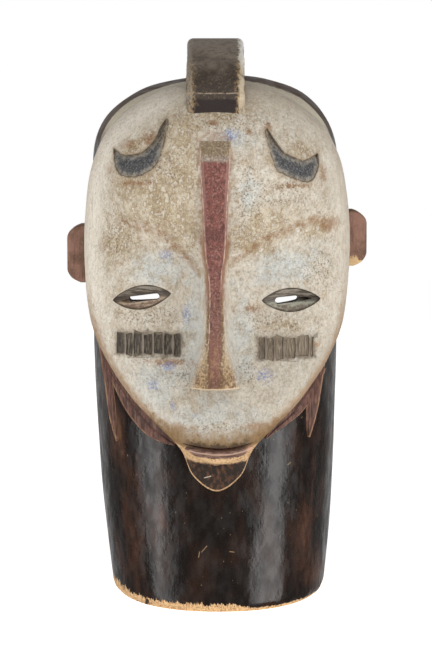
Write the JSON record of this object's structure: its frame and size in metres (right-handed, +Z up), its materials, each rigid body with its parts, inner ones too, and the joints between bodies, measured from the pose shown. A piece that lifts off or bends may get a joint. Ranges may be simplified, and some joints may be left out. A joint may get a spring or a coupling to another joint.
{
  "type": "carved helmet mask",
  "caption": "Tall carved helmet mask with a whitened heart-shaped face, a long raised nose, slit eyes, block ears and a crest, hollowed from behind.",
  "frame": {"origin": "middle of the footprint at the lower rim", "axes": "+X to the right as the picture shows the mask, the face looks along -Y, +Z up to the crest"},
  "size_m": [0.269, 0.22, 0.498],
  "materials": {
    "mask": "light wood, painted with white kaolin on the face and dark brown on the head and neck, red brown on the nose and ears, worn and flaked"
  },
  "bodies": {
    "root": {"mask": "mask"}
  },
  "joints": []
}
